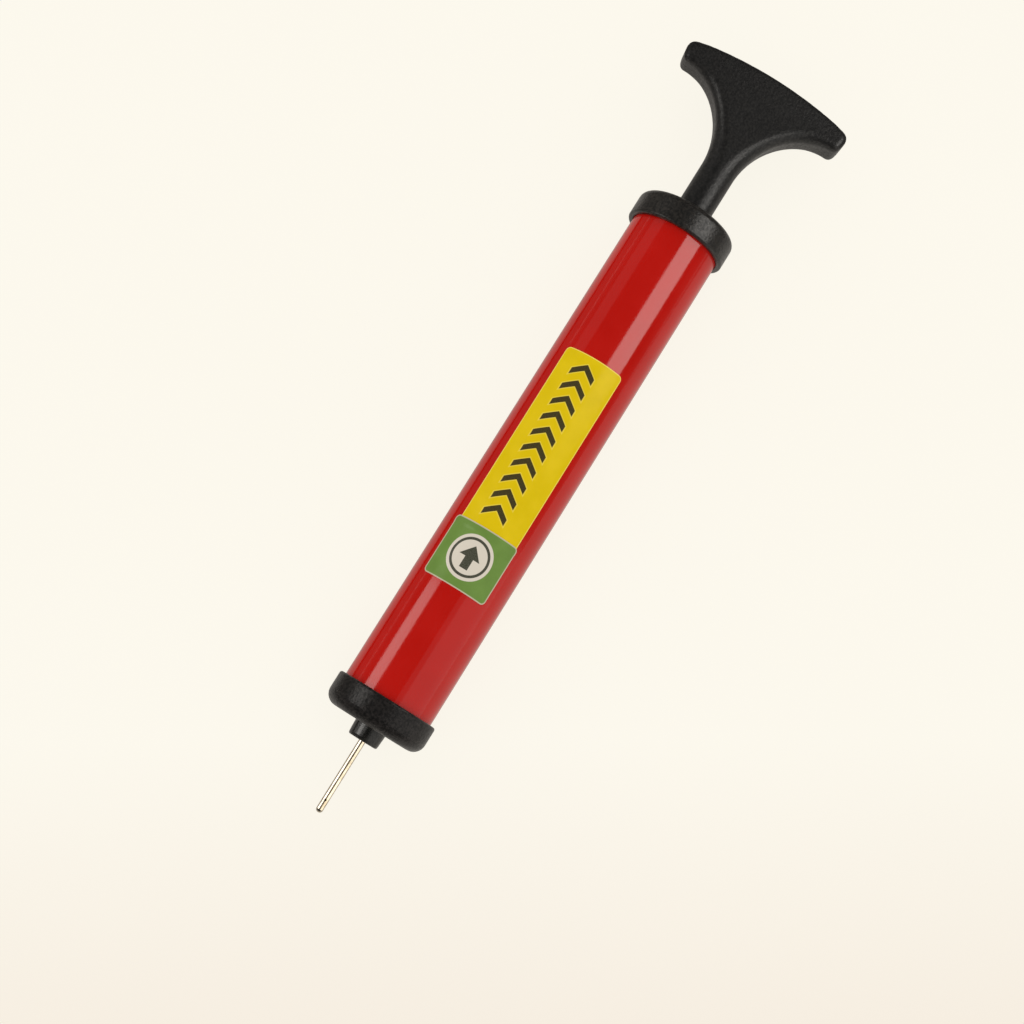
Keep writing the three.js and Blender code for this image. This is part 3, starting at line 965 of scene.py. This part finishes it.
def ellipse(middle, reach, start, count):
    """Points along an ellipse, from an angle to its top."""
    angles = np.linspace(start, math.pi / 2, count)
    return np.array(middle) + np.stack([np.cos(angles), np.sin(angles)], axis=1) * reach


def handle_outline(top, foot):
    """Half of the T's outline as (across, station) points, from the neck to the crown."""
    hollow = ellipse(ARM_MIDDLE, ARM_REACH, math.pi, 40)
    along = np.subtract(END_HIGH, END_LOW)
    along = along / np.linalg.norm(along)
    face_start = np.array(END_LOW) + along * END_LOW_REACH
    face_end = np.array(END_HIGH) - along * END_HIGH_REACH
    crown_start = math.acos(CROWN_END / CROWN_RADIUS)
    crown = ellipse((0, top - CROWN_RADIUS), CROWN_RADIUS, crown_start, 24)
    return np.concatenate([
        [(NECK_RADIUS, foot)],
        hollow,
        quadratic(hollow[-1], END_LOW, face_start)[1:],
        quadratic(face_end, END_HIGH, crown[0]),
        crown[1:],
    ])


def outline_distance(outline, across, station):
    """Distance from points to the outline, negative inside it."""
    point = np.abs(across) + 1j * station
    corners = outline @ (1, 1j)
    nearest = np.full(point.shape, np.inf)
    inside = np.zeros(point.shape, bool)
    for start, end in zip(corners[:-1], corners[1:]):
        along = (point - start) / (end - start)
        foot = start + np.clip(along.real, 0, 1) * (end - start)
        nearest = np.minimum(nearest, np.abs(point - foot))
        spans = (start.imag > station) != (end.imag > station)
        inside ^= spans & ((along.imag > 0) == (end.imag > start.imag))
    return np.where(inside, -nearest, nearest)


def ease(value, start, end):
    share = np.clip((value - start) / (end - start), 0, 1)
    return share * share * (3 - 2 * share)


def build_handle(material):
    """The T: a slab with wide soft edges and slightly hollow faces, on a round neck."""
    span = Span("handle")
    past = 1.5  # length of neck that is made and then cut off
    outline = handle_outline(span.top, foot=span.foot - 8)
    half = span.radius
    arm_edge, rim_edge, end_edge, dish = 3.4, 1.4, 2.3, 0.12
    # Where one edge turns into the next: stations, distances from the middle, and distances
    # below the crown
    neck_to_arms, neck_to_dish = (219, 245), (232, 246)
    arm_to_end, rim_to_end = (26, 31), (24, 30)
    arm_depth, rim_depth = 11, 4
    dish_share, dish_run = 0.8, 8  # the dish starts at this share of the edge

    def field(points):
        station, across, height = points.T
        distance = outline_distance(outline, across, station)
        crown = span.top - across**2 / (2 * CROWN_RADIUS)
        under = 1 - ease(station, crown - arm_depth, crown - rim_depth)
        under = under * (1 - ease(np.abs(across), *arm_to_end))
        edge = rim_edge + (end_edge - rim_edge) * ease(np.abs(across), *rim_to_end)
        edge = edge + (arm_edge - edge) * under
        edge = edge + (half - edge) * (1 - ease(station, *neck_to_arms))
        start = edge * dish_share
        hollow = dish * ease(-distance, start, start + dish_run) * ease(station, *neck_to_dish)
        u = distance + edge
        v = np.abs(height) - (half - hollow - edge)
        rounded = np.hypot(np.maximum(u, 0), np.maximum(v, 0))
        slab = rounded + np.minimum(np.maximum(u, v), 0) - edge
        return np.maximum(slab, span.foot - past - station)

    pitch = 0.55
    wide = math.ceil(span.right / pitch) + 2
    thick = math.ceil(half / pitch) + 2
    tall = math.ceil((span.top - span.foot + past) / pitch) + 3
    axes = (span.top + pitch * (1.5 - np.arange(tall)[::-1]),
            pitch * (np.arange(2 * wide) - wide + 0.5),
            pitch * (np.arange(2 * thick) - thick + 0.5))
    points, faces = surface_net(field, axes)
    piece = new_object("handle_fine", settle(field, points), faces)
    below, wide, bore_top, lead = span.foot - 4, 9, ROD.top + 0.3, 0.5
    cutter = turned("cutter", [
        (below, 0),
        (below, wide),
        (span.foot + lead, wide),
        (span.foot + lead, NECK_RADIUS + 0.02, 0.02),
        (span.foot, NECK_RADIUS - lead, 0.3),
        (span.foot, ROD_SOCKET, 0.2),
        (bore_top, ROD_SOCKET, 0.4),
        (bore_top, 0),
    ])
    stand_for(carve(piece, [cutter]), material)


# ---- Foils ----


def build_foil(node, paint, tuck=0.0, drape=0.0):
    """A thin foil that hugs the barrel, with rounded corners and a map for its print. Its
    foot may run on by tuck under its neighbour, or its top may be draped over drape of one."""
    span = Span(node)
    cad_outer = BARREL.radius / math.cos(CAD_FACET / 2) + CAD_FOIL_TOP
    inner = BARREL.radius + FOIL_LIFT
    outer = inner + FOIL_THICKNESS
    left, right = (math.asin(side / cad_outer) * outer for side in (span.left, span.right))
    foot = span.foot - tuck
    half_width, half_height = (right - left) / 2, (span.top - foot) / 2
    middle, middle_station = (left + right) / 2, (foot + span.top) / 2
    turns = np.linspace(0, math.pi / 2, 12)
    low_end = -half_height + FOIL_CORNER * (1 - np.cos(turns))
    rows = np.linspace(-half_height + FOIL_CORNER, half_height - FOIL_CORNER, 72)[1:-1]
    rows = np.concatenate([low_end, rows, -low_end[::-1]])
    columns = np.sin(np.linspace(-1, 1, 65) * math.pi / 2)
    step, step_run = half_height - drape, 0.9
    points, coordinates = [], []
    for up in rows:
        past = max(0, abs(up) - half_height + FOIL_CORNER)
        width = half_width - FOIL_CORNER + math.sqrt(max(FOIL_CORNER**2 - past**2, 0))
        lift = 0
        if drape:
            lift = (FOIL_THICKNESS + FOIL_LIFT) * ease(up, step - step_run, step)
        for radius, row in ((outer + lift, columns), (inner + lift, columns[::-1])):
            for column in row:
                aside = column * width
                angle = (middle + aside) / outer
                points.append((middle_station + up, radius * math.sin(angle),
                               radius * math.cos(angle)))
                coordinates.append((aside, up))
    around = 2 * len(columns)
    faces = ring_faces(len(rows), around)
    for first in (0, (len(rows) - 1) * around):
        for i in range(len(columns) - 1):
            a, b = first + i, first + around - 1 - i
            faces.append((a, a + 1, b - 1, b))
    piece = new_object(node + "_fine", points, faces)
    foil_map = piece.data.uv_layers.new(name="foil")
    for loop in piece.data.loops:
        foil_map.data[loop.index].uv = coordinates[loop.vertex_index]
    return stand_for(piece, printed_foil(SLOT_OF[node], paint, half_width, half_height))


# ---- Stage, lights and camera ----

SEEN_FLOOR = srgb(252, 248, 237)
SKY_STRENGTH = 1.03
FLOOR_GLOW = 0.925  # share of the floor's brightness that it gives off itself, as a light table


def plane(name, low, high, height):
    """A level rectangle from one (x, y) corner to the other, in millimetres."""
    mesh = bpy.data.meshes.new(name)
    corners = [(low[0], low[1]), (high[0], low[1]), (high[0], high[1]), (low[0], high[1])]
    mesh.from_pydata([(x * MM, y * MM, height * MM) for x, y in corners], [], [(0, 1, 2, 3)])
    piece = add_object(name, mesh)
    return piece


def build_floor():
    """A pale floor whose glow is a little dimmer on one side, beyond the needle: a painted falloff
    of light.
    """
    floor = plane("floor", (-6000, -6000), (6000, 6000), 0)
    look = Look("floor", Specular_IOR_Level=0.0, Emission_Strength=FLOOR_GLOW)
    x, y, _ = look.split(look.where)
    # Painted falloff of light: the glow fades to a deeper colour beyond the needle.
    towards = look.math("ADD", look.math("MULTIPLY", x, 0.85), look.math("MULTIPLY", y, 0.53))
    colour = look.mix(look.spread(towards, 0, 1, -0.2, -0.1), srgb(245, 236, 223), SEEN_FLOOR)
    look.feed(look.shader.inputs["Emission Color"], colour)
    cloud = look.noise(120, detail=3)
    matt = look.mix(look.spread(cloud, 0, 1), scaled(SEEN_FLOOR, 0.075), scaled(SEEN_FLOOR, 0.08))
    grain = look.noise(1.5, detail=2)
    material = look.finish(matt, look.spread(cloud, 0.7, 0.8), look.bump(grain, 0.02))
    floor.data.materials.append(material)


def add_reflection_card(name, low, high, colour, height=0.5):
    """A card on the floor, from one (x, y) corner to the other, that only gloss sees: it paints a
    grey or dark reflection into glossy surfaces.
    """
    card = plane(name, low, high, height)
    look = Look(name, Specular_IOR_Level=0.0, Emission_Color=colour, Emission_Strength=1.0)
    grain = look.noise(60, detail=2)
    card.data.materials.append(look.finish((0, 0, 0, 1), look.spread(grain, 0.9, 1.0),
                                           look.bump(grain, 0.1)))
    card.visible_camera = False
    card.visible_diffuse = False
    card.visible_shadow = False


def build_world():
    """Even studio light for matt surfaces. Gloss sees a dark room with a faint horizon."""
    world = bpy.data.worlds.new("studio")
    bpy.context.scene.world = world
    world.use_nodes = True
    world.node_tree.nodes.clear()
    nodes = Nodes(world.node_tree)
    kinds = nodes.node("LightPath").outputs
    upward = nodes.split(nodes.node("TexCoord").outputs["Generated"])["Z"]
    ramp = nodes.node("ValToRGB", {"Fac": upward})
    horizon, dark = ramp.color_ramp.elements
    horizon.position, horizon.color = 0.0, (0.16, 0.15, 0.14, 1)
    dark.position, dark.color = 0.34, (0.02, 0.02, 0.02, 1)
    room = nodes.node("Background", {"Color": ramp.outputs["Color"]})
    seen = nodes.node("Background", {"Color": SEEN_FLOOR})
    light = nodes.node("Background", {"Color": (1.0, 0.992, 0.975, 1), "Strength": SKY_STRENGTH})
    for kind, shown in (("Is Glossy Ray", room), ("Is Camera Ray", seen)):
        shaders = {0: kinds[kind], 1: light.outputs[0], 2: shown.outputs[0]}
        light = nodes.node("MixShader", shaders)
    nodes.node("OutputWorld", {"Surface": light.outputs[0]})


def turn_to(thing, right, up, back, position):
    """Puts a light or camera at a position, in metres, with its own axes along these three."""
    turn = Matrix((right, up, back)).transposed().to_4x4()
    thing.matrix_world = Matrix.Translation(position) @ turn


def light_group(name, pieces):
    """The pieces that a light is kept to."""
    group = bpy.data.collections.new(name)
    for piece in pieces:
        group.objects.link(piece)
    return group


def add_panel(name, edges, ends, radiance, colour=(1, 0.97, 0.92), group=None, distance=600):
    """A soft rectangular light over the pump that only gloss sees. Its edges are angles in
    degrees from straight up towards -Y, seen from the pump, and its ends are along X."""
    angle = math.radians(sum(edges) / 2)
    across = 2 * distance * math.tan(math.radians(abs(edges[1] - edges[0]) / 2))
    away = Vector((0, -math.sin(angle), math.cos(angle)))
    lamp = bpy.data.lights.new(name, "AREA")
    lamp.shape = "RECTANGLE"
    lamp.size = (ends[1] - ends[0]) * MM
    lamp.size_y = across * MM
    lamp.color = colour
    lamp.energy = 4 * radiance * lamp.size * lamp.size_y
    panel = add_object(name, lamp)
    along = Vector((1, 0, 0))
    middle = Vector((sum(ends) / 2 * MM, 0, AXIS_Z)) + away * distance * MM
    turn_to(panel, along, away.cross(along), away, middle)
    panel.visible_camera = False
    panel.visible_diffuse = False
    panel.light_linking.receiver_collection = group


def build_lights(barrel_pieces, nozzle, needle_pieces):
    """Strips that make the barrel's streaks, soft panels for its sides, and floor cards that paint
    darker reflections of the floor. Far strips beyond both ends streak the barrel when it is seen
    aslant."""
    barrel_group = light_group("barrel_lit", barrel_pieces)
    nozzle_group = light_group("nozzle_lit", [nozzle] + needle_pieces)
    needle_group = light_group("needle_lit", needle_pieces)
    add_panel("upper_strip", (18.5, 58.5), (150, 420), 2.9)
    add_panel("upper_faint_strip", (-73, -45), (10, 420), 0.2)
    add_panel("lower_strip", (-66.5, -41), (-230, -6), 2.5)
    add_panel("lower_soft_panel", (28, 90), (-330, 40), 0.5)
    add_panel("lower_faint_panel", (15, 28), (-330, 40), 0.2)
    add_panel("needle_panel_left", (-90, -18), (-210, -124), 0.9, group=nozzle_group)
    add_panel("needle_panel_right", (18, 90), (-210, -124), 1.1, (1, 0.9, 0.72), needle_group)
    for end, ends in (("needle", (-1500, -440)), ("handle", (440, 1500))):
        add_panel("far_strip_left_" + end, (-58, -36), ends, 1.8, group=barrel_group)
        add_panel("far_strip_right_" + end, (30, 60), ends, 1.8, group=barrel_group)
    # Painted reflections: cards that darken the floor's reflection in the barrel's edges, and a
    # black strip that paints a dark line along it.
    add_reflection_card("grey_card_left", (-450, 0), (450, 58), (0.5, 0.47, 0.43, 1))
    add_reflection_card("black_card", (-450, 58), (450, 80), (0.0, 0.0, 0.0, 1))
    add_reflection_card("dark_card", (-450, 80), (450, 900), (0.15, 0.14, 0.13, 1))
    add_reflection_card("grey_card_right", (-450, -900), (450, 0), (0.58, 0.55, 0.5, 1))
    add_reflection_card("end_card", (146, -900), (1000, 900), (0.12, 0.11, 0.1, 1), height=0.7)


def build_camera():
    """Looks down on the pump from slightly beyond its nozzle, turned so that it leans right."""
    tilt, lean = math.radians(8.2), math.radians(31.99)
    distance = 555.1
    aim_station, aim_across = 88.2, 1.82
    along = Vector((math.cos(tilt), 0, math.sin(tilt)))
    back = Vector((-math.sin(tilt), 0, math.cos(tilt)))
    up = along * math.cos(lean) + Vector((0, math.sin(lean), 0))
    right = up.cross(back)
    aim = Vector(place([(aim_station, aim_across, 0)])[0])
    data = bpy.data.cameras.new("camera")
    data.sensor_width = 36
    data.lens = 59.77
    data.clip_start = 0.01
    camera = add_object("camera", data)
    turn_to(camera, right, up, back, aim + back * distance * MM)
    bpy.context.scene.camera = camera


# ---- The scene ----

build_camera()
build_floor()
build_world()
bpy.context.scene.view_settings.view_transform = "Standard"

white, dull, zinc, plate = nylon(), rubber(), steel(), nickel()
cap_black = black_plastic("top_cap_black", srgb(18, 16, 14), 0.31)
# The bottom cap gets a darker, less shiny copy of the caps' plastic: painted shade on the same
# plastic as the top cap.
shaded_cap_black = black_plastic("bottom_cap_black", srgb(15, 13, 12), 0.32, ior=1.37)
nozzle_black = black_plastic("nozzle_black", srgb(16, 15, 13), 0.19, 0.5, 0.015, ior=1.57)
handle_black = black_plastic("handle_black", srgb(14, 13, 12), 0.38, grain_depth=0.08, seam=True)

barrel = build_sleeve("barrel_tube", red_gloss(), bore=BARREL.radius - BARREL_WALL,
                      outer_edge=0.3, bore_edge=0.2, sides=LARGE_SIDES)
build_bottom_cap(shaded_cap_black)
build_top_cap(cap_black)
nozzle = build_nozzle_plug(nozzle_black)
build_o_ring("plug_o_ring", dull)
build_valve_seat(white)
build_valve_poppet(white)
build_valve_pad(dull)
build_valve_spring(zinc)
build_sleeve("needle_gasket", dull, bore=1.6, outer_edge=0.2, bore_edge=0.2, sides=SMALL_SIDES)
needle_base = build_needle_base(plate)
needle_tube = build_needle_tube(plate)
build_guide_bush(white)
build_sleeve("top_bumper", dull, bore=5.85, outer_edge=0.6, bore_edge=0.3)
build_sleeve("plunger_rod", chrome(), bore=3.2, outer_edge=0.25, bore_edge=0.1)
build_rod_end_plug(white)
build_piston_head(white)
build_o_ring("piston_ring", dull)
build_piston_washer(zinc)
build_piston_screw(zinc)
build_handle(handle_black)
panel = build_foil("label_panel", paint_panel, tuck=FOIL_TUCK)
badge = build_foil("label_badge", paint_badge, drape=FOIL_TUCK - 0.3)
build_lights([barrel, panel, badge], nozzle, [needle_base, needle_tube])
